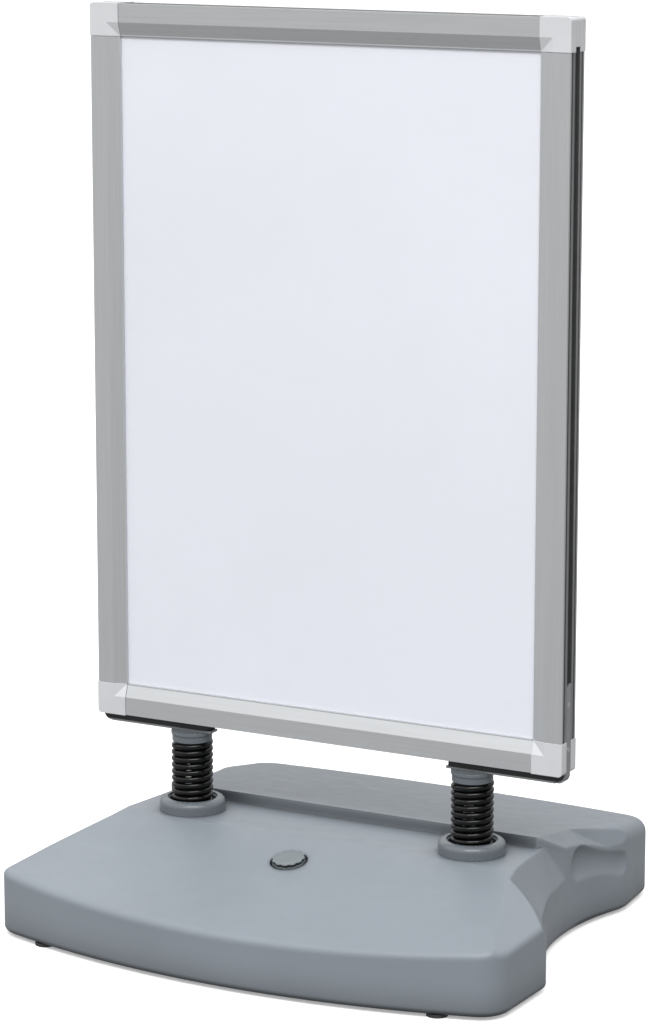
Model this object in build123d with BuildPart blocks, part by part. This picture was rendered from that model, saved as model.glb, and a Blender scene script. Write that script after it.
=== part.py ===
from build123d import *
from math import cos, pi, radians, sin, sqrt
import os

# Pavement sign: a double-sided snap frame on two coil springs over a water-filled base.
# Millimetres. X runs along the sign's width, Y from the front to the rear, Z up.
# The origin is the middle of the footprint, on the ground.

os.makedirs("parts", exist_ok=True)

# Poster and snap frame
poster_width = 594.0
poster_height = 841.0
poster_overlap = 10.0
rail_width = 40.0
half_depth = 12.5
halves_gap = 12.4

# Rail profiles: u runs inward from the frame's edge, v runs outward from the back of one half
sheet = 1.2
flat_width = 23.0
bevel_end_depth = 6.4
lip_width = 1.6
tray_floor_width = 30.0
tray_wall_top = 5.2
hinge_u = 2.6
hinge_v = 8.6
hook_drop = 0.4
bead_radius = 1.0
bead_clearance = 0.3
skirt_clearance = 0.7
bevel_inner_shift = 0.3
stop_rib_height = 2.8
rail_end_gap = 0.4

# Sheets held in each half of the frame
panel_thickness = 3.0
panel_edge_clearance = 0.3
paper_thickness = 0.3
cover_thickness = 0.5
lip_clearance = 0.2

# Corner caps
cap_skin = 0.8
cap_plate = 1.6
cap_bevel_inner_shift = 0.4
cap_radius = 5.0
cap_post_inset = 10.0
cap_post_radius = 4.0

# Leaf springs in the rails
leaf_thickness = 0.5
leaf_height = 6.5
leaf_start_u = 5.5
leaf_span = 10.0
leaf_end_clearance = 0.5
leaf_length = 14.0
leaves_per_long_rail = 4
leaves_per_short_rail = 3

# Spacers between the halves
spacer_width = 20.0
spacer_recess = 3.0
corner_strip_leg = 34.0
slip = 0.1

# Screws that hold each half to the spacers
frame_screw_radius = 2.0
frame_screw_head_radius = 3.6
frame_screw_head_height = 2.0
frame_screw_grip = 5.0
frame_screw_u = 11.0
screws_per_long_rail = 3
screws_per_short_rail = 2

# Corner brackets and their pads
bracket_thickness = 3.0
bracket_leg_width = 12.0
bracket_lip_width = 17.0
bracket_lip_recess = 13.0
bracket_radius = 10.0
bracket_side_height = 110.0
bracket_inner_reach = 32.25
bracket_top_cut = 4.0
pad_height = 9.2
pad_width = 20.0
pad_inset = 4.0
pad_radius = 7.0
side_screw_radius = 2.0
side_screw_head_radius = 3.6
side_screw_length = 16.0
side_screw_low = 30.0
side_screw_high = 85.0

# Springs, with their sockets on the base and collars under the sign
spring_spacing = 398.5
sign_y = -39.0
wire_radius = 3.5
coil_radius = 23.0
coil_pitch = 8.5
coil_quarters = 38
spring_seat_gap = 0.3
spigot_clearance = 0.6
spigot_length = 22.0
spigot_wall = 4.0
collar_height = 12.6
collar_radius = 26.6
collar_plate = 4.0
collar_groove_height = 7.6
collar_groove_depth = 1.2
ring_radius = 42.0
ring_hole_radius = 29.6
ring_height = 17.0
ring_round = 8.0
ring_ledge_width = 2.0
ring_ledge_depth = 3.0
socket_floor = 3.0

# Bolts through the sockets and the collars
bolt_clearance = 0.1
socket_bolt_radius = 5.0
socket_bolt_head_radius = 8.0
socket_bolt_head_height = 6.0
socket_bolt_length = 52.0
washer_radius = 10.0
washer_thickness = 2.0
collar_bolt_radius = 4.0
collar_bolt_head_radius = 7.0
collar_bolt_head_height = 5.0
collar_bolt_length = 30.0
bolt_end_room = 1.0

# Base tank, seen from above; every inset is measured inward from the half width
base_half_width = 349.0
base_front_y = -323.0
base_rear_y = 323.0
front_sagitta = 58.0
front_corner_radius = 40.0
shoulder_end_y = -139.0
shoulder_end_radius = 10.0
waist_inset = 66.0
waist_y = 110.0
lobe_start_inset = 47.0
lobe_start_y = 193.0
lobe_start_radius = 70.0
lobe_corner_inset = 58.0
rear_sagitta = 26.0
lobe_corner_radius = 42.0

# Base tank, heights and slopes
foot_height = 4.0
deck_z = 126.0
deck_slope = 0.231
slope_start_y = -84.0
shoulder_inset = 73.8
shoulder_y = -84.0
shoulder_side_slope = 0.554
shoulder_back_slope = 0.041
hump_rise = 14.0
hump_front_y = 12.0
hump_slope = 0.147
hump_corner_inset = 87.0
hump_shoulder_inset = 59.0
hump_shoulder_y = 78.0
hump_end_slope = 0.85
hump_flare_y = 107.0
hump_flare_slope = 2.35
hump_flare_back_slope = 0.84
deck_end_y = 80.0
scoop_outer_room = 40.0
scoop_wall_top = 61.0
scoop_top_z = 127.0
scoop_points_low = ((-1.0, -141.0), (43.0, -51.0), (61.0, 27.0), (65.0, 111.0))
scoop_points_high = ((4.0, -169.0), (69.0, -109.0), (83.0, 21.0), (83.0, 111.0))
tank_wall = 6.0
front_round = 9.0
hump_round = 18.0
hump_round_start_y = 197.0
foot_edge_round = 8.0
end_groove_radius = 34.0
end_groove_front = (24.0, 95.0, 88.0)
end_groove_rear = (45.0, 178.0, 67.0)
steepest_rim = 0.9
rim_tolerance = 0.01
column_radius = 22.0

# Filler opening and cap, square to the sloping deck
filler_y = -142.0
filler_recess_radius = 23.5
filler_recess_depth = 7.0
filler_wall = 4.0
neck_radius = 15.0
neck_depth = 26.0
filler_cap_radius = 20.5
filler_cap_proud = 1.0
cap_plug_clearance = 0.35
cap_plug_length = 16.0
cap_plug_wall = 2.5
cap_scallops = 12
cap_scallop_radius = 3.2
seal_thickness = 1.5
seal_width = 3.0

# Rubber feet
foot_radius = 13.0
foot_stem_radius = 4.0
foot_stem_length = 3.0
front_foot_inset = 77.0
front_foot_y = -272.0
rear_foot_inset = 84.0
rear_foot_y = 168.0

# Sizes that follow from the ones above
frame_width = poster_width - 2 * poster_overlap + 2 * rail_width
frame_height = poster_height - 2 * poster_overlap + 2 * rail_width
tray_corner_cut = cap_radius - cap_skin
panel_v = sheet
poster_v = panel_v + panel_thickness
cover_v = poster_v + paper_thickness
lip_bottom_v = cover_v + cover_thickness + lip_clearance
stop_rib_u = leaf_start_u + leaf_span + leaf_end_clearance
panel_edge_u = stop_rib_u + sheet + panel_edge_clearance
spring_x = spring_spacing / 2
bracket_inner_x = spring_x - bracket_inner_reach
spring_turns = coil_quarters / 4
spring_length = spring_turns * coil_pitch + 2 * wire_radius + 2 * spring_seat_gap
spring_seat_z = deck_z + socket_floor
collar_bottom_z = spring_seat_z + spring_length
collar_top_z = collar_bottom_z + collar_height
pad_bottom_z = collar_top_z + bracket_thickness
frame_bottom_z = pad_bottom_z + pad_height
frame_top_z = frame_bottom_z + frame_height
frame_middle_z = frame_bottom_z + frame_height / 2
spigot_radius = coil_radius - wire_radius - spigot_clearance
waist_x = base_half_width - waist_inset
lobe_start_x = base_half_width - lobe_start_inset
lobe_corner_x = base_half_width - lobe_corner_inset
shoulder_x = base_half_width - shoulder_inset
hump_z = deck_z + hump_rise
hump_corner_x = base_half_width - hump_corner_inset
hump_shoulder_x = base_half_width - hump_shoulder_inset
front_foot_x = base_half_width - front_foot_inset
rear_foot_x = base_half_width - rear_foot_inset
deck_tilt = Vector(0, -deck_slope, 1).normalized()
filler_z = deck_z + deck_slope * (filler_y - slope_start_y)

HALVES = ("front", "rear")
EDGES = ("top", "bottom", "left", "right")
SIDES = {"left": -1, "right": 1}


def save(part, name):
    part.label = name
    export_step(part, f"parts/{name}.step")


def back_y(half):
    return sign_y + (-halves_gap if half == "front" else halves_gap) / 2


def outward(half):
    return Vector(0, -1 if half == "front" else 1, 0)


def rail_plane(half, edge):
    # Local X is u and local Y is v
    centre_and_inward = {
        "top": ((0, back_y(half), frame_top_z), Vector(0, 0, -1)),
        "bottom": ((0, back_y(half), frame_bottom_z), Vector(0, 0, 1)),
        "left": ((-frame_width / 2, back_y(half), frame_middle_z), Vector(1, 0, 0)),
        "right": ((frame_width / 2, back_y(half), frame_middle_z), Vector(-1, 0, 0)),
    }
    centre, inward = centre_and_inward[edge]
    return Plane(origin=centre, x_dir=inward, z_dir=inward.cross(outward(half)))


def floor_plane(half, edge):
    # Local X is u and local Z is v, so local Y runs along the rail
    section = rail_plane(half, edge)
    return Plane(origin=section.origin, x_dir=section.x_dir, z_dir=section.y_dir)


def is_long(edge):
    return edge in ("left", "right")


def rail_length(edge):
    return frame_height if is_long(edge) else frame_width


def cover_length(edge):
    return rail_length(edge) - 2 * rail_width - 2 * rail_end_gap


def even_places(count, length):
    return [(place + 0.5) * length / count - length / 2 for place in range(count)]


def screw_places(edge):
    count = screws_per_long_rail if is_long(edge) else screws_per_short_rail
    return even_places(count, cover_length(edge))


def leaf_places(edge):
    count = leaves_per_long_rail if is_long(edge) else leaves_per_short_rail
    return even_places(count, cover_length(edge))


def make_tray(half, edge):
    # The fixed profile of one rail, mitred at both ends
    length = rail_length(edge)
    with BuildPart() as tray:
        with BuildSketch(rail_plane(half, edge)):
            with BuildLine():
                Polyline(
                    (0, 0),
                    (tray_floor_width, 0),
                    (tray_floor_width, sheet),
                    (stop_rib_u + sheet, sheet),
                    (stop_rib_u + sheet, sheet + stop_rib_height),
                    (stop_rib_u, sheet + stop_rib_height),
                    (stop_rib_u, sheet),
                    (sheet, sheet),
                    (sheet, tray_wall_top - sheet),
                    (hinge_u + bead_radius / 2, tray_wall_top - sheet),
                    (hinge_u + bead_radius / 2, hinge_v),
                    (hinge_u - bead_radius / 2, hinge_v),
                    (hinge_u - bead_radius / 2, tray_wall_top),
                    (0, tray_wall_top),
                    close=True,
                )
            make_face()
            with Locations((hinge_u, hinge_v)):
                Circle(bead_radius)
        extrude(amount=length / 2, both=True)
        with BuildSketch(floor_plane(half, edge)):
            with BuildLine():
                Polyline(
                    (0, length / 2 - tray_corner_cut),
                    (tray_corner_cut / 2, length / 2 - tray_corner_cut / 2),
                    (rail_width, length / 2 - rail_width),
                    (rail_width, rail_width - length / 2),
                    (tray_corner_cut / 2, tray_corner_cut / 2 - length / 2),
                    (0, tray_corner_cut - length / 2),
                    close=True,
                )
            make_face()
        extrude(amount=half_depth, mode=Mode.INTERSECT)
        with BuildSketch(floor_plane(half, edge)):
            with Locations([(frame_screw_u, place) for place in screw_places(edge)]):
                Circle(frame_screw_radius + bolt_clearance)
        extrude(amount=sheet, mode=Mode.SUBTRACT)
    return tray.part


def make_snap_rail(half, edge):
    # The hinged cover profile of one rail, hooked over the tray's bead
    hook_radius = bead_radius + bead_clearance
    hook_end_u = hinge_u + hook_radius + sheet
    hook_end_v = hinge_v - hook_drop
    skirt_v = hinge_v + skirt_clearance
    with BuildPart() as snap_rail:
        with BuildSketch(rail_plane(half, edge)):
            with BuildLine():
                Polyline(
                    (0, skirt_v),
                    (0, half_depth),
                    (flat_width, half_depth),
                    (rail_width - lip_width, bevel_end_depth + sheet),
                    (rail_width, bevel_end_depth + sheet),
                    (rail_width, lip_bottom_v),
                    (rail_width - lip_width, lip_bottom_v),
                    (rail_width - lip_width, bevel_end_depth),
                    (rail_width - lip_width - sheet, bevel_end_depth),
                    (flat_width - bevel_inner_shift, half_depth - sheet),
                    (hook_end_u, half_depth - sheet),
                    (hook_end_u, hook_end_v),
                    (hinge_u + bead_radius, hook_end_v),
                    (hinge_u + bead_radius, skirt_v),
                    close=True,
                )
            make_face()
            with Locations((hinge_u, hinge_v)):
                Circle(hook_radius, mode=Mode.SUBTRACT)
        extrude(amount=cover_length(edge) / 2, both=True)
    return snap_rail.part


def make_leaf_springs(half):
    # Arched strips on the tray floors, under the snap rails
    middle_u = leaf_start_u + leaf_span / 2
    end_u = leaf_start_u + leaf_span
    with BuildPart() as leaves:
        for edge in EDGES:
            for place in leaf_places(edge):
                with BuildSketch(rail_plane(half, edge).offset(-place)):
                    with BuildLine():
                        ThreePointArc(
                            (leaf_start_u, sheet), (middle_u, sheet + leaf_height), (end_u, sheet)
                        )
                        Line((end_u, sheet), (end_u - leaf_thickness, sheet))
                        ThreePointArc(
                            (end_u - leaf_thickness, sheet),
                            (middle_u, sheet + leaf_height - leaf_thickness),
                            (leaf_start_u + leaf_thickness, sheet),
                        )
                        Line((leaf_start_u + leaf_thickness, sheet), (leaf_start_u, sheet))
                    make_face()
                extrude(amount=leaf_length / 2, both=True)
    return leaves.part


def make_sheet(half, edge_u, bottom_v, thickness):
    with BuildPart() as flat_sheet:
        plane = Plane(origin=(0, back_y(half), frame_middle_z), x_dir=(1, 0, 0), z_dir=outward(half))
        with BuildSketch(plane.offset(bottom_v)):
            Rectangle(frame_width - 2 * edge_u, frame_height - 2 * edge_u)
        extrude(amount=thickness)
    return flat_sheet.part


def make_frame_screws():
    with BuildPart() as screws:
        for half in HALVES:
            for edge in EDGES:
                spots = [(frame_screw_u, place) for place in screw_places(edge)]
                with BuildSketch(floor_plane(half, edge).offset(-frame_screw_grip)):
                    with Locations(spots):
                        Circle(frame_screw_radius)
                extrude(amount=frame_screw_grip + sheet)
                with BuildSketch(floor_plane(half, edge).offset(sheet)):
                    with Locations(spots):
                        Circle(frame_screw_head_radius)
                extrude(amount=frame_screw_head_height)
    return screws.part


def cap_outline(side_u, top_v, bevel_top_v, flat_end_u, inner_u):
    with BuildLine() as outline:
        Polyline(
            (side_u, 0),
            (side_u, top_v),
            (flat_end_u, top_v),
            (flat_end_u + rail_width - lip_width - flat_width, bevel_top_v),
            (inner_u, bevel_top_v),
            (inner_u, 0),
            close=True,
        )
    return outline


def make_corner_form(side_u, top_v, bevel_top_v, flat_end_u, inner_u, round_radius):
    # Two rail outlines crossing at the front half's top right corner, with the bevels mitred
    corner = (frame_width / 2, back_y("front"), frame_top_z)
    with BuildPart() as form:
        with BuildSketch(Plane(origin=corner, x_dir=(-1, 0, 0), z_dir=(0, 0, 1)).offset(-side_u)):
            add(cap_outline(side_u, top_v, bevel_top_v, flat_end_u, inner_u))
            make_face()
        extrude(amount=side_u - inner_u)
        with BuildSketch(Plane(origin=corner, x_dir=(0, 0, -1), z_dir=(-1, 0, 0)).offset(side_u)):
            add(cap_outline(side_u, top_v, bevel_top_v, flat_end_u, inner_u))
            make_face()
        extrude(amount=inner_u - side_u)
        upright = form.edges().filter_by(Axis.Y)
        fillet(upright.sort_by(lambda edge: edge.center().X + edge.center().Z)[-1], radius=round_radius)
    return form.part


def make_corner_cap():
    # The moulded shell over the front half's top right corner
    face_v = half_depth + cap_skin
    bevel_v = bevel_end_depth + sheet + cap_skin
    shell = make_corner_form(-cap_skin, face_v, bevel_v, flat_width, rail_width, cap_radius)
    hollow = make_corner_form(
        0, face_v - cap_plate, bevel_v - cap_plate, flat_width - cap_bevel_inner_shift, rail_width + cap_skin,
        cap_radius - cap_skin,
    )
    corner = (frame_width / 2, back_y("front"), frame_top_z)
    face_plane = Plane(origin=corner, x_dir=(-1, 0, 0), z_dir=(0, -1, 0))
    with BuildPart() as cap:
        add(shell)
        add(hollow, mode=Mode.SUBTRACT)
        with BuildSketch(face_plane.offset(sheet)):
            with Locations((cap_post_inset, cap_post_inset)):
                Circle(cap_post_radius)
        extrude(amount=face_v - cap_plate - sheet)
        with BuildSketch(face_plane.offset(lip_bottom_v)):
            with Locations((rail_width - lip_width / 2, rail_width - lip_width / 2)):
                Rectangle(lip_width, lip_width)
        extrude(amount=bevel_v - cap_plate / 2 - lip_bottom_v)
    return cap.part


def make_spacer(low_x, high_x, low_z, high_z, thickness):
    with BuildPart() as spacer:
        with BuildSketch(Plane.XZ.offset(-sign_y)):
            with Locations(((low_x + high_x) / 2, (low_z + high_z) / 2)):
                Rectangle(high_x - low_x, high_z - low_z)
        extrude(amount=thickness / 2, both=True)
    return spacer.part


def tank_plan(inset):
    # The footprint: bowed front, shoulders, drawn-in waist and rear lobe
    front_corner_y = base_front_y + front_sagitta
    rear_corner_y = base_rear_y - rear_sagitta
    corners = (
        (base_half_width, front_corner_y, front_corner_radius),
        (base_half_width, shoulder_end_y, shoulder_end_radius),
        (lobe_start_x, lobe_start_y, lobe_start_radius),
        (lobe_corner_x, rear_corner_y, lobe_corner_radius),
    )
    with BuildSketch() as plan:
        with BuildLine():
            ThreePointArc(
                (-base_half_width, front_corner_y), (0, base_front_y), (base_half_width, front_corner_y)
            )
            for side in SIDES.values():
                Line((side * base_half_width, front_corner_y), (side * base_half_width, shoulder_end_y))
                ThreePointArc(
                    (side * base_half_width, shoulder_end_y),
                    (side * waist_x, waist_y),
                    (side * lobe_start_x, lobe_start_y),
                )
                Line((side * lobe_start_x, lobe_start_y), (side * lobe_corner_x, rear_corner_y))
            ThreePointArc(
                (-lobe_corner_x, rear_corner_y), (0, base_rear_y), (lobe_corner_x, rear_corner_y)
            )
        make_face()
        for corner_x, corner_y, radius in corners:
            for side in SIDES.values():
                nearest = plan.vertices().sort_by_distance((side * corner_x, corner_y, 0))[0]
                fillet(nearest, radius=radius)
        if inset:
            offset(amount=-inset)
    return plan.sketch


def slope_plane(point, slope_x, slope_y, inset):
    # A plane through the point that rises by these slopes along X and Y, lowered by the wall
    normal = Vector(-slope_x, -slope_y, 1).normalized()
    return Plane(origin=Vector(*point) - normal * inset, z_dir=normal)


def rim_edges(part, inset, low_y, high_y):
    # The edges along the top of the outer wall, between two depths
    outline = tank_plan(inset).wires()[0]
    rim = []
    for edge in part.edges():
        middle = edge.position_at(0.5)
        flat = abs(edge.tangent_at(0.5).Z) < steepest_rim
        on_wall = outline.distance_to(Vertex(middle.X, middle.Y, 0)) < rim_tolerance
        if flat and on_wall and middle.Z > foot_height + tank_wall and low_y < middle.Y < high_y:
            rim.append(edge)
    return rim


def foot_edges(part):
    # The edges round the tank's underside
    edges = []
    for edge in part.edges():
        if edge.bounding_box().max.Z < foot_height + rim_tolerance:
            edges.append(edge)
    return edges


def make_scoop(inset):
    # The cutter for the hollowed right flank, from the top of the waist's wall up past the deck
    outer_x = base_half_width + scoop_outer_room
    with BuildPart() as scoop:
        for height, points in ((scoop_wall_top, scoop_points_low), (scoop_top_z, scoop_points_high)):
            edge = [(base_half_width - point_inset - inset, y) for point_inset, y in points]
            outer = [(outer_x, points[-1][1]), (outer_x, points[0][1])]
            with BuildSketch(Plane.XY.offset(height - inset)):
                with BuildLine():
                    Polyline(*edge, *outer, close=True)
                make_face()
        loft(ruled=True)
    return scoop.part


def make_deck_body(inset):
    # Front part of the tank: level deck, sloping front, falling shoulders and scooped flanks
    right_scoop = make_scoop(inset)
    with BuildPart() as deck:
        with BuildSketch(Plane.XY.offset(foot_height + inset)):
            add(tank_plan(inset))
            with Locations((0, deck_end_y + base_rear_y)):
                Rectangle(2 * base_half_width, 2 * base_rear_y, mode=Mode.SUBTRACT)
        extrude(amount=deck_z - foot_height - 2 * inset)
        front = slope_plane((0, slope_start_y, deck_z), 0, deck_slope, inset)
        split(bisect_by=front, keep=Keep.BOTTOM)
        for side in SIDES.values():
            shoulder = slope_plane(
                (side * shoulder_x, shoulder_y, deck_z), -side * shoulder_side_slope, shoulder_back_slope, inset
            )
            split(bisect_by=shoulder, keep=Keep.BOTTOM)
        if not inset:
            rim = rim_edges(deck.part, inset, base_front_y, shoulder_end_y + shoulder_end_radius)
            fillet(rim, front_round)
        add(right_scoop, mode=Mode.SUBTRACT)
        add(right_scoop.mirror(Plane.YZ), mode=Mode.SUBTRACT)
    return deck.part


def make_hump_end(side, inset):
    # The cutter above one sloping end of the hump, which runs out towards the rear
    flare_z = hump_z - hump_slope * (hump_flare_y - hump_front_y)
    end = slope_plane(
        (side * hump_corner_x, hump_front_y, hump_z), -side * hump_end_slope, -hump_slope, inset
    )
    flare = slope_plane(
        (side * hump_corner_x, hump_flare_y, flare_z),
        -side * hump_flare_slope,
        hump_flare_back_slope - hump_slope,
        inset,
    )
    with BuildPart() as cutter:
        with BuildSketch():
            with Locations((side * base_half_width, 0)):
                Rectangle(2 * (base_half_width - hump_corner_x + inset), 2 * base_rear_y)
        extrude(amount=hump_z)
        split(bisect_by=end, keep=Keep.TOP)
        split(bisect_by=flare, keep=Keep.TOP)
    return cutter.part


def make_hump_body(inset):
    # Rear part of the tank: a step up behind the sign, falling to the rear and at both ends
    front_y = hump_front_y + inset
    shoulder_front_y = hump_shoulder_y + inset
    with BuildPart() as hump:
        with BuildSketch(Plane.XY.offset(foot_height + inset)):
            add(tank_plan(inset))
            with BuildLine():
                Polyline(
                    (-base_half_width, base_rear_y),
                    (-base_half_width, shoulder_front_y),
                    (-hump_shoulder_x, shoulder_front_y),
                    (-hump_corner_x, front_y),
                    (hump_corner_x, front_y),
                    (hump_shoulder_x, shoulder_front_y),
                    (base_half_width, shoulder_front_y),
                    (base_half_width, base_rear_y),
                    close=True,
                )
            make_face(mode=Mode.INTERSECT)
        extrude(amount=hump_z - foot_height - inset)
        split(bisect_by=slope_plane((0, hump_front_y, hump_z), 0, -hump_slope, inset), keep=Keep.BOTTOM)
        rim = rim_edges(hump.part, inset, hump_round_start_y, base_rear_y)
        fillet(rim, hump_round - inset)
        for side in SIDES.values():
            add(make_hump_end(side, inset), mode=Mode.SUBTRACT)
    return hump.part


def make_end_groove(side, inset):
    # The cutter for the hollow under one sloping end of the hump
    ends = []
    for room, y, z in (end_groove_front, end_groove_rear):
        ends.append(Vector(side * (waist_x + room), y, z))
    radius = end_groove_radius + inset
    with BuildPart() as groove:
        with BuildSketch(Plane(origin=ends[0], z_dir=ends[1] - ends[0])):
            Circle(radius)
        extrude(amount=(ends[1] - ends[0]).length)
        for end in ends:
            with Locations(end):
                Sphere(radius)
    return groove.part


def filler_plane(depth):
    # Square to the sloping deck at the filler, this far below its surface
    surface = Plane(origin=(0, filler_y, filler_z), x_dir=(1, 0, 0), z_dir=deck_tilt)
    return surface.offset(-depth)


def make_tank():
    # The hollow water tank with moulded columns under the springs and a filler neck
    deck = make_deck_body(0)
    hump = make_hump_body(0)
    deck_cavity = make_deck_body(tank_wall)
    hump_cavity = make_hump_body(tank_wall)
    bolt_end_z = spring_seat_z + washer_thickness - socket_bolt_length
    recess_bottom = filler_recess_depth + filler_wall
    with BuildPart() as tank:
        add(deck)
        add(hump)
        for side in SIDES.values():
            add(make_end_groove(side, 0), mode=Mode.SUBTRACT)
        fillet(foot_edges(tank.part), foot_edge_round)
        with BuildPart(mode=Mode.PRIVATE) as cavity:
            add(deck_cavity)
            add(hump_cavity)
            for side in SIDES.values():
                add(make_end_groove(side, tank_wall), mode=Mode.SUBTRACT)
        add(cavity.part, mode=Mode.SUBTRACT)
        with BuildSketch(Plane.XY.offset(foot_height)):
            with Locations((-spring_x, sign_y), (spring_x, sign_y)):
                Circle(column_radius)
        extrude(amount=deck_z - foot_height)
        with BuildSketch(Plane.XY.offset(bolt_end_z - bolt_end_room)):
            with Locations((-spring_x, sign_y), (spring_x, sign_y)):
                Circle(socket_bolt_radius + bolt_clearance)
        extrude(amount=deck_z - bolt_end_z + bolt_end_room, mode=Mode.SUBTRACT)
        with BuildSketch(filler_plane(recess_bottom)):
            Circle(filler_recess_radius + filler_wall)
        extrude(amount=recess_bottom - tank_wall / 2)
        with BuildSketch(filler_plane(neck_depth)):
            Circle(neck_radius + filler_wall)
        extrude(amount=neck_depth - filler_recess_depth)
        with BuildSketch(filler_plane(filler_recess_depth)):
            Circle(filler_recess_radius)
        extrude(amount=2 * filler_recess_depth, mode=Mode.SUBTRACT)
        with BuildSketch(filler_plane(neck_depth)):
            Circle(neck_radius)
        extrude(amount=neck_depth, mode=Mode.SUBTRACT)
        with BuildSketch(Plane.XY.offset(foot_height)):
            with Locations(foot_places()):
                Circle(foot_stem_radius + slip)
        extrude(amount=foot_stem_length + slip, mode=Mode.SUBTRACT)
    return tank.part


def foot_places():
    front = [(side * front_foot_x, front_foot_y) for side in SIDES.values()]
    rear = [(side * rear_foot_x, rear_foot_y) for side in SIDES.values()]
    return front + rear


def make_feet():
    with BuildPart() as feet:
        with BuildSketch():
            with Locations(foot_places()):
                Circle(foot_radius)
        extrude(amount=foot_height)
        with BuildSketch(Plane.XY.offset(foot_height)):
            with Locations(foot_places()):
                Circle(foot_stem_radius)
        extrude(amount=foot_stem_length)
    return feet.part


def make_filler_cap():
    # A scalloped disc over a hollow plug, in the recess of the deck
    disc_bottom = filler_recess_depth - seal_thickness
    plug_radius = neck_radius - cap_plug_clearance
    with BuildPart() as cap:
        with BuildSketch(filler_plane(disc_bottom)):
            Circle(filler_cap_radius)
            with PolarLocations(filler_cap_radius + cap_scallop_radius / 2, cap_scallops):
                Circle(cap_scallop_radius, mode=Mode.SUBTRACT)
        extrude(amount=disc_bottom + filler_cap_proud)
        with BuildSketch(filler_plane(disc_bottom)):
            Circle(plug_radius)
        extrude(amount=-cap_plug_length)
        with BuildSketch(filler_plane(disc_bottom + cap_plug_length)):
            Circle(plug_radius - cap_plug_wall)
        extrude(amount=cap_plug_length, mode=Mode.SUBTRACT)
    return cap.part


def make_cap_seal():
    with BuildPart() as seal:
        with BuildSketch(filler_plane(filler_recess_depth)):
            Circle(neck_radius + seal_width)
            Circle(neck_radius, mode=Mode.SUBTRACT)
        extrude(amount=seal_thickness)
    return seal.part


def make_side_spacer(side):
    # The upright bar between the halves, with holes for the frame's screws and the bracket's
    edge_x = SIDES[side] * (frame_width / 2 - spacer_recess)
    inner_x = SIDES[side] * (frame_width / 2 - spacer_recess - spacer_width)
    screw_x = SIDES[side] * (frame_width / 2 - frame_screw_u)
    with BuildPart() as spacer:
        add(
            make_spacer(
                min(edge_x, inner_x),
                max(edge_x, inner_x),
                frame_bottom_z + spacer_recess,
                frame_top_z - spacer_recess,
                halves_gap,
            )
        )
        for half in HALVES:
            with BuildSketch(floor_plane(half, side)):
                with Locations([(frame_screw_u, place) for place in screw_places(side)]):
                    Circle(frame_screw_radius + bolt_clearance)
            extrude(amount=-frame_screw_grip - bolt_clearance, mode=Mode.SUBTRACT)
        for height in (side_screw_low, side_screw_high):
            hole_start = (edge_x, sign_y, frame_bottom_z + height)
            with BuildSketch(Plane(origin=hole_start, z_dir=(-SIDES[side], 0, 0))):
                Circle(side_screw_radius + bolt_clearance)
            extrude(amount=side_screw_length - bracket_thickness + bolt_end_room, mode=Mode.SUBTRACT)
    return spacer.part


def make_cross_spacer(edge):
    # The level bar between the halves, with holes for the frame's screws and the collars' bolts
    outer_z = frame_top_z - spacer_recess if edge == "top" else frame_bottom_z + spacer_recess
    inner_z = outer_z + (-spacer_width if edge == "top" else spacer_width)
    end_x = frame_width / 2 - spacer_recess - spacer_width
    with BuildPart() as spacer:
        add(make_spacer(-end_x, end_x, min(outer_z, inner_z), max(outer_z, inner_z), halves_gap))
        for half in HALVES:
            with BuildSketch(floor_plane(half, edge)):
                with Locations([(frame_screw_u, place) for place in screw_places(edge)]):
                    Circle(frame_screw_radius + bolt_clearance)
            extrude(amount=-frame_screw_grip - bolt_clearance, mode=Mode.SUBTRACT)
        if edge == "bottom":
            with BuildSketch(Plane.XY.offset(outer_z)):
                with Locations((-spring_x, sign_y), (spring_x, sign_y)):
                    Circle(collar_bolt_radius + bolt_clearance)
            bolt_top_z = collar_top_z - collar_plate + collar_bolt_length
            extrude(amount=bolt_top_z + bolt_end_room - outer_z, mode=Mode.SUBTRACT)
    return spacer.part


def make_corner_strip():
    # The light strip round the top right corner of the gap
    inner_x = frame_width / 2 - corner_strip_leg
    inner_z = frame_top_z - corner_strip_leg
    with BuildPart() as strip:
        add(make_spacer(inner_x, frame_width / 2, inner_z, frame_top_z, halves_gap - 2 * slip))
        uprights = strip.edges().filter_by(Axis.Y)
        outer_edge = uprights.sort_by(lambda edge: edge.center().X + edge.center().Z)[-1]
        fillet(outer_edge, radius=cap_radius - cap_skin)
        hollow = make_spacer(
            inner_x, frame_width / 2 - spacer_recess, inner_z, frame_top_z - spacer_recess, halves_gap
        )
        add(hollow, mode=Mode.SUBTRACT)
    return strip.part


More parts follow.
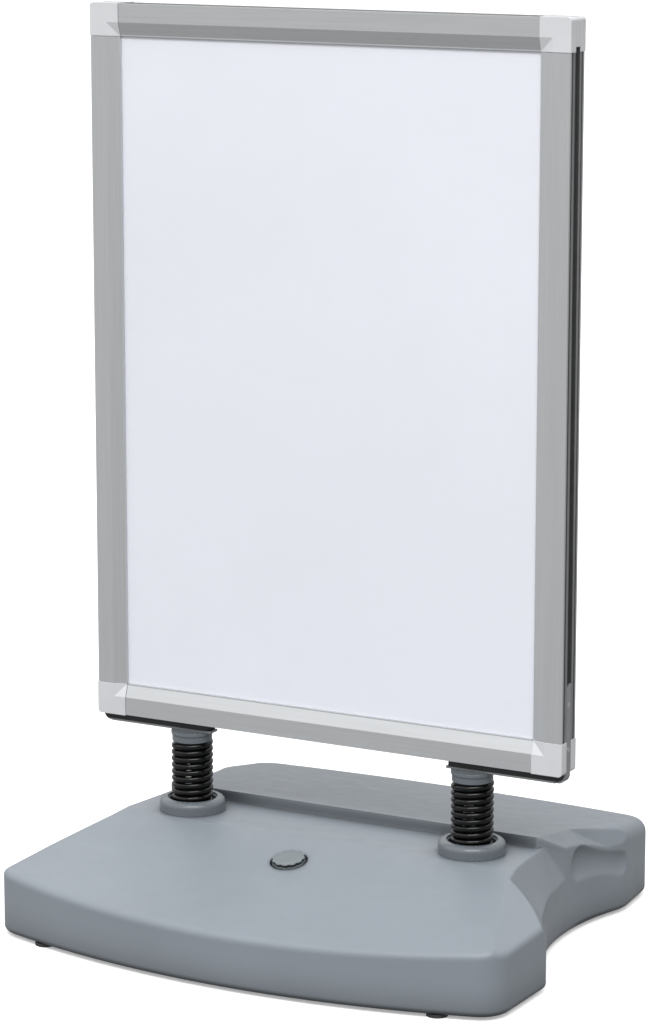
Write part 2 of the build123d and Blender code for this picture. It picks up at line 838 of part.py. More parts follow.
def make_bracket():
    # The bent strap under the right end of the frame, with its side leg in the gap
    outer_x = frame_width / 2
    top_z = frame_bottom_z + bracket_side_height
    inside_x = outer_x - bracket_thickness
    with BuildPart() as bracket:
        with BuildSketch(Plane.XZ.offset(-sign_y)):
            with BuildLine():
                Line((bracket_inner_x, pad_bottom_z), (bracket_inner_x, collar_top_z))
                Line((bracket_inner_x, collar_top_z), (outer_x - bracket_radius, collar_top_z))
                RadiusArc(
                    (outer_x - bracket_radius, collar_top_z),
                    (outer_x, collar_top_z + bracket_radius),
                    -bracket_radius,
                )
                Line((outer_x, collar_top_z + bracket_radius), (outer_x, top_z))
                Line((outer_x, top_z), (inside_x, top_z))
                Line((inside_x, top_z), (inside_x, collar_top_z + bracket_radius))
                RadiusArc(
                    (inside_x, collar_top_z + bracket_radius),
                    (outer_x - bracket_radius, pad_bottom_z),
                    bracket_radius - bracket_thickness,
                )
                Line((outer_x - bracket_radius, pad_bottom_z), (bracket_inner_x, pad_bottom_z))
            make_face()
        extrude(amount=bracket_lip_width / 2, both=True)
        lip_end_x = outer_x - bracket_lip_recess
        narrow = [sign_y + side * (bracket_leg_width + bracket_lip_width) / 2 for side in (-1, 1)]
        with BuildSketch(Plane.XY.offset(collar_top_z)):
            with Locations([(lip_end_x + bracket_radius, y) for y in narrow]):
                Rectangle(2 * bracket_radius, bracket_lip_width)
        extrude(amount=bracket_side_height + 2 * bracket_radius, mode=Mode.SUBTRACT)
        with BuildSketch(Plane.YZ.offset(inside_x)):
            with BuildLine():
                Polyline(
                    (sign_y - bracket_leg_width / 2, top_z),
                    (sign_y - bracket_leg_width / 2, top_z - bracket_top_cut),
                    (sign_y + bracket_leg_width / 2, top_z),
                    close=True,
                )
            make_face()
        extrude(amount=bracket_thickness, mode=Mode.SUBTRACT)
        with BuildSketch(Plane.XY.offset(collar_top_z)):
            with Locations((spring_x, sign_y)):
                Circle(collar_bolt_radius + bolt_clearance)
        extrude(amount=bracket_thickness, mode=Mode.SUBTRACT)
        for height in (side_screw_low, side_screw_high):
            with Locations(Plane(origin=(outer_x, sign_y, frame_bottom_z + height), z_dir=(1, 0, 0))):
                CounterSinkHole(
                    radius=side_screw_radius + bolt_clearance,
                    counter_sink_radius=side_screw_head_radius + bolt_clearance,
                    depth=bracket_thickness,
                    counter_sink_angle=90,
                )
    return bracket.part


def make_bracket_pad():
    # The rubber block between the right bracket and the frame, with a tongue up into the gap
    end_x = frame_width / 2 - bracket_thickness + slip
    start_x = bracket_inner_x + pad_inset
    notch_x = frame_width / 2 - bracket_radius - bracket_thickness
    relief_x = frame_width / 2 - rail_width - rail_end_gap
    tongue_width = halves_gap - 2 * slip
    notch_width = bracket_leg_width + 4 * slip
    with BuildPart() as pad:
        with BuildSketch(Plane.XZ.offset(-sign_y)):
            with Locations(((start_x + end_x) / 2, pad_bottom_z + pad_height / 2)):
                Rectangle(end_x - start_x, pad_height)
            fillet(vertices().group_by(Axis.X)[-1].sort_by(Axis.Y)[0], radius=pad_radius)
        extrude(amount=pad_width / 2, both=True)
        relief_length = end_x - relief_x
        reliefs = [sign_y + side * (tongue_width + pad_width) / 2 for side in (-1, 1)]
        with BuildSketch(Plane.XY.offset(frame_bottom_z)):
            with Locations([(relief_x + relief_length / 2, y) for y in reliefs]):
                Rectangle(relief_length, pad_width)
        extrude(amount=-cap_skin, mode=Mode.SUBTRACT)
        with BuildSketch(Plane.XY.offset(frame_bottom_z)):
            with Locations(((start_x + notch_x) / 2, sign_y)):
                Rectangle(notch_x - start_x, tongue_width)
        extrude(amount=spacer_recess)
        with BuildSketch(Plane.XY.offset(pad_bottom_z)):
            with Locations(((notch_x + end_x) / 2, sign_y)):
                Rectangle(end_x - notch_x, notch_width)
            with Locations((spring_x, sign_y)):
                Circle(collar_bolt_radius + bolt_clearance)
        extrude(amount=pad_height + spacer_recess, mode=Mode.SUBTRACT)
    return pad.part


def make_bracket_screws():
    # Countersunk screws through the side legs into the upright bars
    with BuildPart() as screws:
        for side in SIDES.values():
            for height in (side_screw_low, side_screw_high):
                head = (side * frame_width / 2, sign_y, frame_bottom_z + height)
                with BuildSketch(Plane(origin=head, x_dir=(0, 0, 1), z_dir=(0, side, 0))):
                    with BuildLine():
                        Polyline(
                            (0, 0),
                            (side_screw_head_radius, 0),
                            (side_screw_radius, side_screw_radius - side_screw_head_radius),
                            (side_screw_radius, -side_screw_length),
                            (0, -side_screw_length),
                            close=True,
                        )
                    make_face()
                revolve(axis=Axis(head, (1, 0, 0)))
    return screws.part


def radial_plane(centre_x, height):
    # Local X is the radius and local Y is the height
    return Plane(origin=(centre_x, sign_y, height), x_dir=(1, 0, 0), z_dir=(0, -1, 0))


def upright_axis(centre_x):
    return Axis((centre_x, sign_y, 0), (0, 0, 1))


def make_socket(centre_x):
    # The ring on the deck, with a pocket for the spring's foot and a spigot inside its turns
    hole = socket_bolt_radius + bolt_clearance
    ledge_z = ring_height - ring_ledge_depth
    ledge_radius = ring_hole_radius + ring_ledge_width
    round_middle = ring_round * cos(radians(45))
    round_centre = ring_radius - ring_round
    spigot_bore = spigot_radius - spigot_wall
    spigot_top = socket_floor + spigot_length
    with BuildPart() as socket:
        with BuildSketch(radial_plane(centre_x, deck_z)):
            with BuildLine():
                Polyline(
                    (round_centre, ring_height),
                    (ledge_radius, ring_height),
                    (ledge_radius, ledge_z),
                    (ring_hole_radius, ledge_z),
                    (ring_hole_radius, socket_floor),
                    (spigot_radius, socket_floor),
                    (spigot_radius, spigot_top),
                    (spigot_bore, spigot_top),
                    (spigot_bore, socket_floor),
                    (hole, socket_floor),
                    (hole, 0),
                    (ring_radius, 0),
                    (ring_radius, ring_height - ring_round),
                )
                ThreePointArc(
                    (ring_radius, ring_height - ring_round),
                    (round_centre + round_middle, ring_height - ring_round + round_middle),
                    (round_centre, ring_height),
                )
            make_face()
        revolve(axis=upright_axis(centre_x))
    return socket.part


def make_collar(centre_x):
    # The flanged cap on the spring, with a spigot down inside its turns
    hole = collar_bolt_radius + bolt_clearance
    groove_radius = collar_radius - collar_groove_depth
    spigot_bore = spigot_radius - spigot_wall
    plate_z = collar_height - collar_plate
    with BuildPart() as collar:
        with BuildSketch(radial_plane(centre_x, collar_bottom_z)):
            with BuildLine():
                Polyline(
                    (hole, collar_height),
                    (collar_radius, collar_height),
                    (collar_radius, collar_groove_height + collar_groove_depth),
                    (groove_radius, collar_groove_height),
                    (groove_radius, 0),
                    (spigot_radius, 0),
                    (spigot_radius, -spigot_length),
                    (spigot_bore, -spigot_length),
                    (spigot_bore, plate_z),
                    (hole, plate_z),
                    close=True,
                )
            make_face()
        revolve(axis=upright_axis(centre_x))
    return collar.part


def make_bolts(head_z, shank_radius, shank_length, head_radius, head_height, up):
    # Socket-head bolts in pairs, with shanks pointing up or down from the height of the head's face
    with BuildPart() as bolts:
        with BuildSketch(Plane.XY.offset(head_z)):
            with Locations((-spring_x, sign_y), (spring_x, sign_y)):
                Circle(shank_radius)
        extrude(amount=up * shank_length)
        with BuildSketch(Plane.XY.offset(head_z)):
            with Locations((-spring_x, sign_y), (spring_x, sign_y)):
                Circle(head_radius)
        extrude(amount=-up * head_height)
        with BuildSketch(Plane.XY.offset(head_z - up * head_height)):
            with Locations((-spring_x, sign_y), (spring_x, sign_y)):
                RegularPolygon(head_radius / 2, 6)
        extrude(amount=up * head_height / 2, mode=Mode.SUBTRACT)
    return bolts.part


def make_washers():
    with BuildPart() as washers:
        with BuildSketch(Plane.XY.offset(spring_seat_z)):
            with Locations((-spring_x, sign_y), (spring_x, sign_y)):
                Circle(washer_radius)
                Circle(socket_bolt_radius + bolt_clearance, mode=Mode.SUBTRACT)
        extrude(amount=washer_thickness)
    return washers.part


def coil_point(centre_x, quarter):
    angle = quarter * pi / 2
    height = spring_seat_z + spring_seat_gap + wire_radius + coil_pitch * quarter / 4
    return Vector(
        centre_x + coil_radius * cos(angle),
        sign_y + coil_radius * sin(angle),
        height,
    )


def coil_direction(quarter):
    angle = quarter * pi / 2
    climb = coil_pitch / (2 * pi)
    return Vector(-coil_radius * sin(angle), coil_radius * cos(angle), climb).normalized()


def make_spring(centre_x):
    # One unbroken wire: every quarter turn is a pair of arcs that meet in line
    with BuildPart() as spring:
        with BuildLine() as path:
            for quarter in range(coil_quarters):
                start = coil_point(centre_x, quarter)
                end = coil_point(centre_x, quarter + 1)
                leaving = coil_direction(quarter)
                arriving = coil_direction(quarter + 1)
                span = end - start
                both = leaving + arriving
                square = both.dot(both) - 4
                linear = -2 * span.dot(both)
                reach = (-linear - sqrt(linear**2 - 4 * square * span.dot(span))) / (2 * square)
                joint = (start + leaving * reach + end - arriving * reach) / 2
                through = (end - arriving * reach - start - leaving * reach).normalized()
                TangentArc(start, joint, tangent=leaving)
                TangentArc(joint, end, tangent=through)
        with BuildSketch(Plane(origin=coil_point(centre_x, 0), z_dir=coil_direction(0))):
            Circle(wire_radius)
        sweep(path=path.wire())
    return spring.part


def least_coil_gap():
    # Turns are compared from three quarters of a turn apart
    points_per_quarter = 4
    nearest = 3 * points_per_quarter
    count = coil_quarters * points_per_quarter + 1
    points = [coil_point(0, place / points_per_quarter) for place in range(count)]
    gap = coil_pitch
    for first, point in enumerate(points):
        for other in points[first + nearest:]:
            gap = min(gap, (other - point).length - 2 * wire_radius)
    return gap


for half in HALVES:
    for edge in EDGES:
        save(make_tray(half, edge), f"{half}_tray_{edge}")
        save(make_snap_rail(half, edge), f"{half}_rail_{edge}")
    save(make_leaf_springs(half), f"{half}_leaf_springs")
    save(make_sheet(half, panel_edge_u, panel_v, panel_thickness), f"{half}_back_panel")
    poster_edge_u = rail_width - poster_overlap
    save(make_sheet(half, poster_edge_u, poster_v, paper_thickness), f"{half}_poster")
    save(make_sheet(half, panel_edge_u, cover_v, cover_thickness), f"{half}_clear_cover")
save(make_frame_screws(), "frame_screws")

first_cap = make_corner_cap()
for half in HALVES:
    for height in ("top", "bottom"):
        for side in SIDES:
            with BuildPart() as corner_cap:
                add(first_cap)
                if side == "left":
                    mirror(about=Plane.YZ, mode=Mode.REPLACE)
                if height == "bottom":
                    mirror(about=Plane.XY.offset(frame_middle_z), mode=Mode.REPLACE)
                if half == "rear":
                    mirror(about=Plane.XZ.offset(-sign_y), mode=Mode.REPLACE)
            save(corner_cap.part, f"{half}_cap_{height}_{side}")

for side in SIDES:
    save(make_side_spacer(side), f"spacer_{side}")
for edge in ("top", "bottom"):
    save(make_cross_spacer(edge), f"spacer_{edge}")

pieces_by_name = {
    "top_corner_strip": make_corner_strip(),
    "bracket": make_bracket(),
    "bracket_pad": make_bracket_pad(),
}
for name, right_piece in pieces_by_name.items():
    for side in SIDES:
        with BuildPart() as piece:
            add(right_piece)
            if side == "left":
                mirror(about=Plane.YZ, mode=Mode.REPLACE)
        save(piece.part, f"{name}_{side}")
save(make_bracket_screws(), "bracket_screws")

for side, direction in SIDES.items():
    save(make_socket(direction * spring_x), f"spring_socket_{side}")
    save(make_spring(direction * spring_x), f"spring_{side}")
    save(make_collar(direction * spring_x), f"spring_collar_{side}")
washer_top_z = spring_seat_z + washer_thickness
save(
    make_bolts(
        washer_top_z, socket_bolt_radius, socket_bolt_length, socket_bolt_head_radius,
        socket_bolt_head_height, -1,
    ),
    "socket_bolts",
)
save(make_washers(), "socket_washers")
save(
    make_bolts(
        collar_top_z - collar_plate, collar_bolt_radius, collar_bolt_length, collar_bolt_head_radius,
        collar_bolt_head_height, 1,
    ),
    "collar_bolts",
)
print("least gap between spring turns", round(least_coil_gap(), 2), "mm")

save(make_tank(), "base_tank")
save(make_feet(), "rubber_feet")
save(make_filler_cap(), "filler_cap")
save(make_cap_seal(), "cap_seal")
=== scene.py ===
import math

import bpy
import numpy as np
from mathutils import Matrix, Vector


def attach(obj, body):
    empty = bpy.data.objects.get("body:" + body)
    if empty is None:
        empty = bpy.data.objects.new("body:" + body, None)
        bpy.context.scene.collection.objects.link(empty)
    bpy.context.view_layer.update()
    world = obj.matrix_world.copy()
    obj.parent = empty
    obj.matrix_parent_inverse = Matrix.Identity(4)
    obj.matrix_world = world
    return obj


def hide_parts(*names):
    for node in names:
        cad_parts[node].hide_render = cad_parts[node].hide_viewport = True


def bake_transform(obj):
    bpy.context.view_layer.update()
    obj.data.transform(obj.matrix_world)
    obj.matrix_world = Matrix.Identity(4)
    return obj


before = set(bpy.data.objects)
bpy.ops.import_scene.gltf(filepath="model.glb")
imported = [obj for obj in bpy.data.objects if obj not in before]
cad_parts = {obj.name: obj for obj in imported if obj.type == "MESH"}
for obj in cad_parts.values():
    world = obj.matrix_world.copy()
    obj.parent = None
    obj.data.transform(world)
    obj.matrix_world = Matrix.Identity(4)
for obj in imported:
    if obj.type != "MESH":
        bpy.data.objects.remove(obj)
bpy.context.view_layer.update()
scene = bpy.context.scene

# Metres, with the origin in the middle of the footprint. The numbers say which way each side or half lies
SIDES = {"left": -1, "right": 1}
HALVES = {"front": -1, "rear": 1}
ENDS = ("top", "bottom")
SIGN_Y = -0.039
SPRING_X = 0.19925

# Camera, from the fit of the frame's edges and the base's outline
CAMERA_PLACE = (2.0872, -3.8184, 1.3889)
CAMERA_YAW = 0.506
CAMERA_PITCH = 0.1962
CAMERA_LENS = 126.02
SENSOR_WIDTH = 36
CAMERA_REACH = 100

# Studio surround: brightness by height of the direction, from straight down to straight up
WORLD_LEVELS = (
    (-1.0, 0.13), (-0.74, 0.15), (-0.45, 0.225), (-0.19, 0.305), (0.0, 0.29),
    (0.2, 0.34), (0.42, 0.76), (0.75, 0.74), (1.0, 0.72),
)
WORLD_STRENGTH = 1.7
WORLD_RIGHTWARD = -0.22
WORLD_REARWARD = -0.12

# One wide softbox, high up behind the camera
KEY_TARGET = (0, SIGN_Y, 0.3)
KEY_DISTANCE = 6
KEY_ELEVATION = math.radians(50)
KEY_WIDTH = 4.8
KEY_HEIGHT = 0.5
KEY_POWER = 210

FLOOR_REACH = 45
FLOOR_GLOW = 0.3

# The part of a noise's range that its darkest and lightest colours or roughnesses span
NOISE_LOW = 0.3
NOISE_HIGH = 0.7
COLOUR_DETAIL = 3
GRAIN_DETAIL = 2
# Painted shade: the occlusion at which a crevice's colour is painted darkest, and at which a surface counts
# as open
CREVICE_SHADE_CLOSED = 0.35
CREVICE_SHADE_OPEN = 0.95
CREVICE_SHADE_SAMPLES = 8
BEVEL_SAMPLES = 6
EVEN = (1, 1, 1)


def make_camera():
    lens = bpy.data.cameras.new("camera")
    lens.lens = CAMERA_LENS
    lens.sensor_width = SENSOR_WIDTH
    lens.clip_end = CAMERA_REACH
    camera = bpy.data.objects.new("camera", lens)
    camera.location = CAMERA_PLACE
    camera.rotation_euler = (math.pi / 2 - CAMERA_PITCH, 0, CAMERA_YAW)
    scene.collection.objects.link(camera)
    scene.camera = camera


def make_key_light():
    light = bpy.data.lights.new("key", "AREA")
    light.shape = "RECTANGLE"
    light.size = KEY_WIDTH
    light.size_y = KEY_HEIGHT
    light.energy = KEY_POWER
    lamp = bpy.data.objects.new("key", light)
    reach = KEY_DISTANCE * math.cos(KEY_ELEVATION)
    rise = KEY_DISTANCE * math.sin(KEY_ELEVATION)
    away = Vector((reach * math.sin(CAMERA_YAW), -reach * math.cos(CAMERA_YAW), rise))
    lamp.location = Vector(KEY_TARGET) + away
    lamp.rotation_euler = away.to_track_quat("Z", "Y").to_euler()
    scene.collection.objects.link(lamp)


def make_world():
    # Brightest overhead, dimmer towards the ground, and brighter at the left and in front
    world = bpy.data.worlds.new("studio")
    scene.world = world
    world.use_nodes = True
    nodes = world.node_tree.nodes
    links = world.node_tree.links

    def math_node(operation, factor):
        node = nodes.new("ShaderNodeMath")
        node.operation = operation
        node.inputs[1].default_value = factor
        return node

    direction = nodes.new("ShaderNodeTexCoord")
    axes = nodes.new("ShaderNodeSeparateXYZ")
    height = nodes.new("ShaderNodeMapRange")
    height.inputs["From Min"].default_value = -1
    ramp = nodes.new("ShaderNodeValToRGB")
    elements = ramp.color_ramp.elements
    while len(elements) < len(WORLD_LEVELS):
        elements.new(0.5)
    for element, (place, level) in zip(elements, WORLD_LEVELS):
        element.position = (place + 1) / 2
        element.color = (level, level, level, 1)
    rightward = math_node("MULTIPLY_ADD", WORLD_RIGHTWARD)
    rightward.inputs[2].default_value = 1
    rearward = math_node("MULTIPLY_ADD", WORLD_REARWARD)
    strength = math_node("MULTIPLY", WORLD_STRENGTH)
    background = nodes["Background"]
    links.new(direction.outputs["Generated"], axes.inputs[0])
    links.new(axes.outputs["Z"], height.inputs["Value"])
    links.new(height.outputs["Result"], ramp.inputs["Fac"])
    links.new(axes.outputs["X"], rightward.inputs[0])
    links.new(axes.outputs["Y"], rearward.inputs[0])
    links.new(rightward.outputs[0], rearward.inputs[2])
    links.new(rearward.outputs[0], strength.inputs[0])
    links.new(ramp.outputs["Color"], background.inputs["Color"])
    links.new(strength.outputs[0], background.inputs["Strength"])


def make_floor():
    mesh = bpy.data.meshes.new("floor")
    corners = [(-1, -1), (1, -1), (1, 1), (-1, 1)]
    mesh.from_pydata([(x * FLOOR_REACH, y * FLOOR_REACH, 0) for x, y in corners], [], [(0, 1, 2, 3)])
    floor = bpy.data.objects.new("floor", mesh)
    scene.collection.objects.link(floor)
    material = Material("floor", (0.92, 0.92, 0.92), 0.9)
    material.vary(1.5, 0.01)
    material.set(Emission_Color=(1, 1, 1, 1), Emission_Strength=FLOOR_GLOW)
    mesh.materials.append(material.finish())
    # It lights and mirrors in nothing, so the surround alone sets the object's shades
    floor.visible_glossy = False
    floor.visible_diffuse = False


class Material:
    # A principled shader that gets colour, roughness and bump from noise in the object's own metres.
    # A scale is how many noise cells a metre holds, and a stretch below 1 draws them out along that axis

    def __init__(self, name, colour, roughness, metallic=0.0):
        self.name = name
        self.material = bpy.data.materials.new(name)
        self.material.use_nodes = True
        self.nodes = self.material.node_tree.nodes
        self.links = self.material.node_tree.links
        self.shader = self.nodes["Principled BSDF"]
        self.colour = colour
        self.roughness = roughness
        self.shader.inputs["Base Color"].default_value = (*colour, 1)
        self.shader.inputs["Roughness"].default_value = roughness
        self.shader.inputs["Metallic"].default_value = metallic
        self.place = self.nodes.new("ShaderNodeTexCoord").outputs["Object"]
        self.normal = None

    def set(self, **values):
        for name, value in values.items():
            self.shader.inputs[name.replace("_", " ")].default_value = value
        return self

    def noise(self, scale, detail, stretch):
        mapping = self.nodes.new("ShaderNodeMapping")
        mapping.inputs["Scale"].default_value = stretch
        texture = self.nodes.new("ShaderNodeTexNoise")
        texture.inputs["Scale"].default_value = scale
        texture.inputs["Detail"].default_value = detail
        self.links.new(self.place, mapping.inputs["Vector"])
        self.links.new(mapping.outputs["Vector"], texture.inputs["Vector"])
        return texture.outputs["Fac"]

    def vary(self, scale, amount, stretch=EVEN):
        # Lightens and darkens the colour by this share
        ramp = self.nodes.new("ShaderNodeValToRGB")
        low, high = ramp.color_ramp.elements
        low.position = NOISE_LOW
        high.position = NOISE_HIGH
        low.color = (*[c * (1 - amount) for c in self.colour], 1)
        high.color = (*[min(1, c * (1 + amount)) for c in self.colour], 1)
        self.links.new(self.noise(scale, COLOUR_DETAIL, stretch), ramp.inputs["Fac"])
        self.links.new(ramp.outputs["Color"], self.shader.inputs["Base Color"])
        return self

    def paint_crevice_shade(self, distance, amount):
        # Paints shade into the colour: darkens it by up to this share where nearby surfaces close in
        occlusion = self.nodes.new("ShaderNodeAmbientOcclusion")
        occlusion.samples = CREVICE_SHADE_SAMPLES
        occlusion.inputs["Distance"].default_value = distance
        level = self.nodes.new("ShaderNodeMapRange")
        level.inputs["From Min"].default_value = CREVICE_SHADE_CLOSED
        level.inputs["From Max"].default_value = CREVICE_SHADE_OPEN
        level.inputs["To Min"].default_value = 1 - amount
        shade = self.nodes.new("ShaderNodeVectorMath")
        shade.operation = "SCALE"
        colour = self.shader.inputs["Base Color"]
        self.links.new(occlusion.outputs["AO"], level.inputs["Value"])
        self.links.new(colour.links[0].from_socket, shade.inputs[0])
        self.links.new(level.outputs["Result"], shade.inputs["Scale"])
        self.links.new(shade.outputs["Vector"], colour)
        return self

    def polish(self, scale, amount, stretch=EVEN):
        # Makes the roughness uneven by this much
        level = self.nodes.new("ShaderNodeMapRange")
        level.inputs["From Min"].default_value = NOISE_LOW
        level.inputs["From Max"].default_value = NOISE_HIGH
        level.inputs["To Min"].default_value = self.roughness - amount
        level.inputs["To Max"].default_value = self.roughness + amount
        self.links.new(self.noise(scale, COLOUR_DETAIL, stretch), level.inputs["Value"])
        self.links.new(level.outputs["Result"], self.shader.inputs["Roughness"])
        return self

    def soften(self, radius):
        # Rounds sharp edges in the shading
        bevel = self.nodes.new("ShaderNodeBevel")
        bevel.samples = BEVEL_SAMPLES
        bevel.inputs["Radius"].default_value = radius
        self.normal = bevel.outputs["Normal"]
        return self

    def grain(self, scale, depth, stretch=EVEN):
        # Adds a fine bump this deep
        bump = self.nodes.new("ShaderNodeBump")
        bump.inputs["Strength"].default_value = 1
        bump.inputs["Distance"].default_value = depth
        self.links.new(self.noise(scale, GRAIN_DETAIL, stretch), bump.inputs["Height"])
        if self.normal:
            self.links.new(self.normal, bump.inputs["Normal"])
        self.normal = bump.outputs["Normal"]
        return self

    def finish(self):
        if self.normal:
            self.links.new(self.normal, self.shader.inputs["Normal"])
        return self.material


def make_materials():
    tank = Material("tank_plastic", (0.216, 0.243, 0.272), 0.42)
    # The tank's colour gets painted shade in its hollows, steps and crevices
    tank.vary(6, 0.035).paint_crevice_shade(0.05, 0.65).polish(40, 0.06).soften(0.006).grain(900, 0.00012)
    holder = Material("holder_plastic", (0.118, 0.135, 0.15), 0.28)
    holder.vary(20, 0.04).polish(60, 0.05).soften(0.0012).grain(700, 0.00005)
    cap = Material("cap_plastic_grey", (0.16, 0.185, 0.197), 0.42)
    cap.vary(30, 0.05).polish(80, 0.05).soften(0.0008).grain(900, 0.00006)
    rails = []
    # Drawn metal: the lines run along each rail
    for run, stretch in (("level", (0.02, 1, 1)), ("upright", (1, 1, 0.02))):
        rail = Material(f"rail_aluminium_{run}", (0.66, 0.675, 0.69), 0.34, metallic=1.0)
        rail.vary(350, 0.03, stretch).polish(500, 0.04, stretch)
        rail.soften(0.0005).grain(2500, 0.00002, stretch)
        rails.append(rail)
    tray = Material("tray_aluminium", (0.35, 0.355, 0.36), 0.4, metallic=1.0)
    tray.vary(60, 0.05).soften(0.0003).grain(1500, 0.00002)
    corner = Material("corner_plastic", (0.68, 0.69, 0.71), 0.36, metallic=0.35)
    corner.vary(25, 0.03).polish(60, 0.05).soften(0.0007).grain(1800, 0.00003)
    spacer = Material("spacer_black", (0.02, 0.021, 0.022), 0.45)
    spacer.vary(30, 0.2).grain(1200, 0.00004)
    strip = Material("strip_grey", (0.55, 0.555, 0.57), 0.4)
    strip.vary(30, 0.04).soften(0.0005).grain(1200, 0.00004)
    bracket = Material("bracket_grey", (0.30, 0.31, 0.32), 0.38, metallic=0.5)
    bracket.vary(60, 0.05).polish(90, 0.06).soften(0.0008).grain(1600, 0.00004)
    pad = Material("pad_rubber", (0.012, 0.012, 0.013), 0.55)
    pad.vary(80, 0.3).soften(0.0008).grain(1300, 0.00008)
    feet = Material("feet_rubber", (0.03, 0.03, 0.032), 0.7)
    feet.vary(80, 0.3).soften(0.001).grain(1300, 0.0001)
    paper = Material("poster_paper", (0.76, 0.775, 0.83), 0.5)
    paper.vary(3, 0.02).polish(12, 0.04).grain(250, 0.000008)
    paper.set(Coat_Weight=0.6, Coat_Roughness=0.28)
    panel = Material("panel_plastic", (0.82, 0.82, 0.83), 0.5)
    panel.vary(10, 0.02).grain(900, 0.00003)
    cover = Material("cover_sheet", (0.9, 0.92, 0.96), 0.2)
    cover.polish(8, 0.04)
    cover.set(Alpha=0.12)
    steel = Material("zinc_steel", (0.62, 0.62, 0.63), 0.3, metallic=1.0)
    steel.vary(150, 0.08).polish(200, 0.08).soften(0.0004).grain(1500, 0.00003)
    leaf = Material("leaf_steel", (0.5, 0.5, 0.52), 0.32, metallic=1.0)
    leaf.vary(120, 0.06).grain(1200, 0.00003)
    lacquer = Material("spring_lacquer", (0.002, 0.002, 0.0022), 0.16)
    lacquer.polish(300, 0.03).grain(500, 0.00002)
    lacquer.set(Specular_IOR_Level=0.3)
    made = [
        tank, holder, cap, *rails, tray, corner, spacer, strip, bracket, pad, feet, paper, panel, cover,
        steel, leaf, lacquer,
    ]
    return {each.name: each.finish() for each in made}


def dress_frame(materials):
    edges = (*SIDES, *ENDS)
    nodes_by_material = {
        "tank_plastic": ["base_tank"],
        "cap_plastic_grey": ["filler_cap"],
        "pad_rubber": ["cap_seal", "bracket_pad_left", "bracket_pad_right"],
        "feet_rubber": ["rubber_feet"],
        "holder_plastic": [f"spring_{part}_{side}" for part in ("socket", "collar") for side in SIDES],
        "bracket_grey": [f"bracket_{side}" for side in SIDES],
        "spacer_black": [f"spacer_{edge}" for edge in edges],
        "strip_grey": [f"top_corner_strip_{side}" for side in SIDES],
        "zinc_steel": ["socket_bolts", "socket_washers", "collar_bolts", "bracket_screws", "frame_screws"],
        "tray_aluminium": [f"{half}_tray_{edge}" for half in HALVES for edge in edges],
        "rail_aluminium_level": [f"{half}_rail_{end}" for half in HALVES for end in ENDS],
        "rail_aluminium_upright": [f"{half}_rail_{side}" for half in HALVES for side in SIDES],
        "corner_plastic": [f"{half}_cap_{end}_{side}" for half in HALVES for end in ENDS for side in SIDES],
        "poster_paper": [f"{half}_poster" for half in HALVES],
        "panel_plastic": [f"{half}_back_panel" for half in HALVES],
        "cover_sheet": [f"{half}_clear_cover" for half in HALVES],
        "leaf_steel": [f"{half}_leaf_springs" for half in HALVES],
    }
    for name, nodes in nodes_by_material.items():
        for node in nodes:
            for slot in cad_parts[node].material_slots:
                slot.material = materials[name]


def make_object(name, points, faces, material, smooth=True):
    mesh = bpy.data.meshes.new(name)
    mesh.from_pydata([tuple(point) for point in points], [], faces)
    mesh.materials.append(material)
    for face in mesh.polygons:
        face.use_smooth = smooth
    mesh.update()
    thing = bpy.data.objects.new(name, mesh)
    scene.collection.objects.link(thing)
    return thing


# The CAD's covers touch the posters, and two faces in one plane would show as streaks
COVER_GAP = 0.0001


def make_cover(half, material):
    # The CAD's sheet, with its inner face moved off the poster
    outward = HALVES[half]
    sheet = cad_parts[f"{half}_clear_cover"]
    places = [sheet.matrix_world @ vertex.co for vertex in sheet.data.vertices]
    inner = min(outward * place.y for place in places)
    for place in places:
        if outward * place.y < inner + COVER_GAP:
            place.y += outward * COVER_GAP
    faces = [tuple(face.vertices) for face in sheet.data.polygons]
    cover = make_object(f"{half}_cover_sheet", places, faces, material, smooth=False)
    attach(cover, "sign")
    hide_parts(f"{half}_clear_cover")


# Springs: one unbroken wire each
WIRE_RADIUS = 0.004
COIL_RADIUS = 0.0225
COIL_PITCH = 0.0085
COIL_TURNS = 10.5
COIL_START_Z = 0.12855
COIL_LOW_FACE_Z = 0.1293
COIL_HIGH_FACE_Z = 0.21705
STEPS_PER_TURN = 48
WIRE_SIDES = 16
# The cut ends are rounded over: the wire narrows to this share of its radius over this length
WIRE_END_SHARE = 0.8
WIRE_END_LENGTH = 0.003


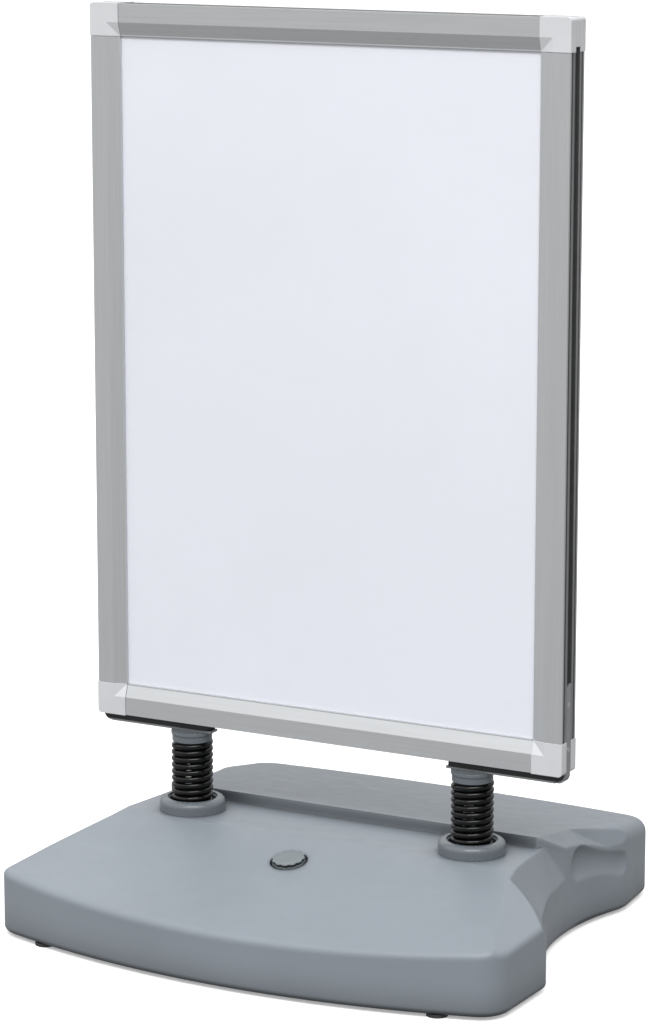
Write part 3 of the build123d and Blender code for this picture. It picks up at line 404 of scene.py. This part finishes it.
def make_spring(side, material):
    centre_x = SIDES[side] * SPRING_X
    points = []
    steps = int(COIL_TURNS * STEPS_PER_TURN)
    climb = COIL_PITCH / (2 * math.pi)
    for step in range(steps + 1):
        angle = 2 * math.pi * step / STEPS_PER_TURN
        outward = np.array([math.cos(angle), math.sin(angle), 0])
        middle = np.array([centre_x, SIGN_Y, COIL_START_Z]) + COIL_RADIUS * outward
        middle[2] += COIL_PITCH * step / STEPS_PER_TURN
        along = np.array([-COIL_RADIUS * math.sin(angle), COIL_RADIUS * math.cos(angle), climb])
        along /= np.linalg.norm(along)
        up = np.cross(outward, along)
        end_distance = min(step, steps - step) * 2 * math.pi * COIL_RADIUS / STEPS_PER_TURN
        share = WIRE_END_SHARE + (1 - WIRE_END_SHARE) * min(1, end_distance / WIRE_END_LENGTH)
        for place in range(WIRE_SIDES):
            turn = 2 * math.pi * place / WIRE_SIDES
            point = middle + share * WIRE_RADIUS * (math.cos(turn) * outward + math.sin(turn) * up)
            # The end turns are ground flat
            point[2] = min(max(point[2], COIL_LOW_FACE_Z), COIL_HIGH_FACE_Z)
            points.append(point)
    faces = []
    for step in range(steps):
        for place in range(WIRE_SIDES):
            this, following = step * WIRE_SIDES, (step + 1) * WIRE_SIDES
            after = (place + 1) % WIRE_SIDES
            faces.append((this + place, this + after, following + after, following + place))
    faces.append(tuple(range(WIRE_SIDES))[::-1])
    faces.append(tuple(range(steps * WIRE_SIDES, (steps + 1) * WIRE_SIDES)))
    spring = make_object(f"coil_{side}", points, faces, material)
    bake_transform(spring)
    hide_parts(f"spring_{side}")


# Filler cap's crown: a scalloped lid over a band painted black as the shade under its edge, on the deck's
# slope
CAP_FOOT = (0, -0.142, 0.112602)
DECK_SLOPE = 0.231
CAP_RADIUS = 0.0205
SCALLOPS = 12
SCALLOP_RADIUS = 0.0032
SCALLOP_REACH = 0.0221
STEPS_PER_SCALLOP = 20
# Inset at which the scallops have faded out, and the sharpest turn that still shades smoothly
SCALLOP_FADE = 0.0035
CROWN_SMOOTH_ANGLE = math.radians(35)
# Height above the deck and inset, from the foot of the band painted as shade, over the lid's edge, to its
# dished middle
SHADE_BAND = ((0.001, 0.0006), (0.0042, 0.0006))
LID = (
    (0.0042, 0.0), (0.0046, 0.0), (0.0049, 0.0002), (0.005, 0.0006), (0.005, 0.0035), (0.0046, 0.0048),
    (0.0046, 0.012),
)


def cap_edge(angle):
    # Distance from the middle to the scalloped edge
    pitch = 2 * math.pi / SCALLOPS
    offset = (angle + pitch / 2) % pitch - pitch / 2
    depth = SCALLOP_RADIUS**2 - (SCALLOP_REACH * math.sin(offset)) ** 2
    if depth <= 0:
        return CAP_RADIUS
    return min(CAP_RADIUS, SCALLOP_REACH * math.cos(offset) - math.sqrt(depth))


def make_crown(lid_material, shade_band_material):
    foot = np.array(CAP_FOOT)
    up = np.array([0, -DECK_SLOPE, 1]) / math.hypot(1, DECK_SLOPE)
    rightward = np.array([1, 0, 0])
    rearward = np.array([0, up[2], -up[1]])
    count = SCALLOPS * STEPS_PER_SCALLOP
    points = []
    for height, inset in SHADE_BAND + LID:
        fade = max(0, 1 - inset / SCALLOP_FADE)
        for step in range(count):
            angle = 2 * math.pi * step / count
            reach = fade * cap_edge(angle) + (1 - fade) * CAP_RADIUS - inset
            outward = math.cos(angle) * rightward + math.sin(angle) * rearward
            points.append(foot + height * up + reach * outward)
    centre = len(points)
    points.append(foot + LID[-1][0] * up)
    faces = []
    rings = len(SHADE_BAND + LID)
    for ring in range(rings - 1):
        this, following = ring * count, (ring + 1) * count
        for step in range(count):
            after = (step + 1) % count
            faces.append((this + step, this + after, following + after, following + step))
    last = (rings - 1) * count
    for step in range(count):
        faces.append((last + step, last + (step + 1) % count, centre))
    faces.append(tuple(range(count))[::-1])
    crown = make_object("cap_crown", points, faces, lid_material)
    crown.data.materials.append(shade_band_material)
    # The band's faces take the black rubber as painted shade under the lid's overhanging edge
    for face in crown.data.polygons[:count]:
        face.material_index = 1
    sharp = crown.modifiers.new("edges", "EDGE_SPLIT")
    sharp.split_angle = CROWN_SMOOTH_ANGLE
    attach(crown, "filler_cap_body")


make_camera()
make_world()
make_floor()
make_key_light()
materials = make_materials()
dress_frame(materials)
# Brings the nodes' places up to date before the covers' points are read
bpy.context.view_layer.update()
for half in HALVES:
    make_cover(half, materials["cover_sheet"])
make_crown(materials["cap_plastic_grey"], materials["pad_rubber"])
for side in SIDES:
    make_spring(side, materials["spring_lacquer"])

scene.view_settings.view_transform = "Standard"
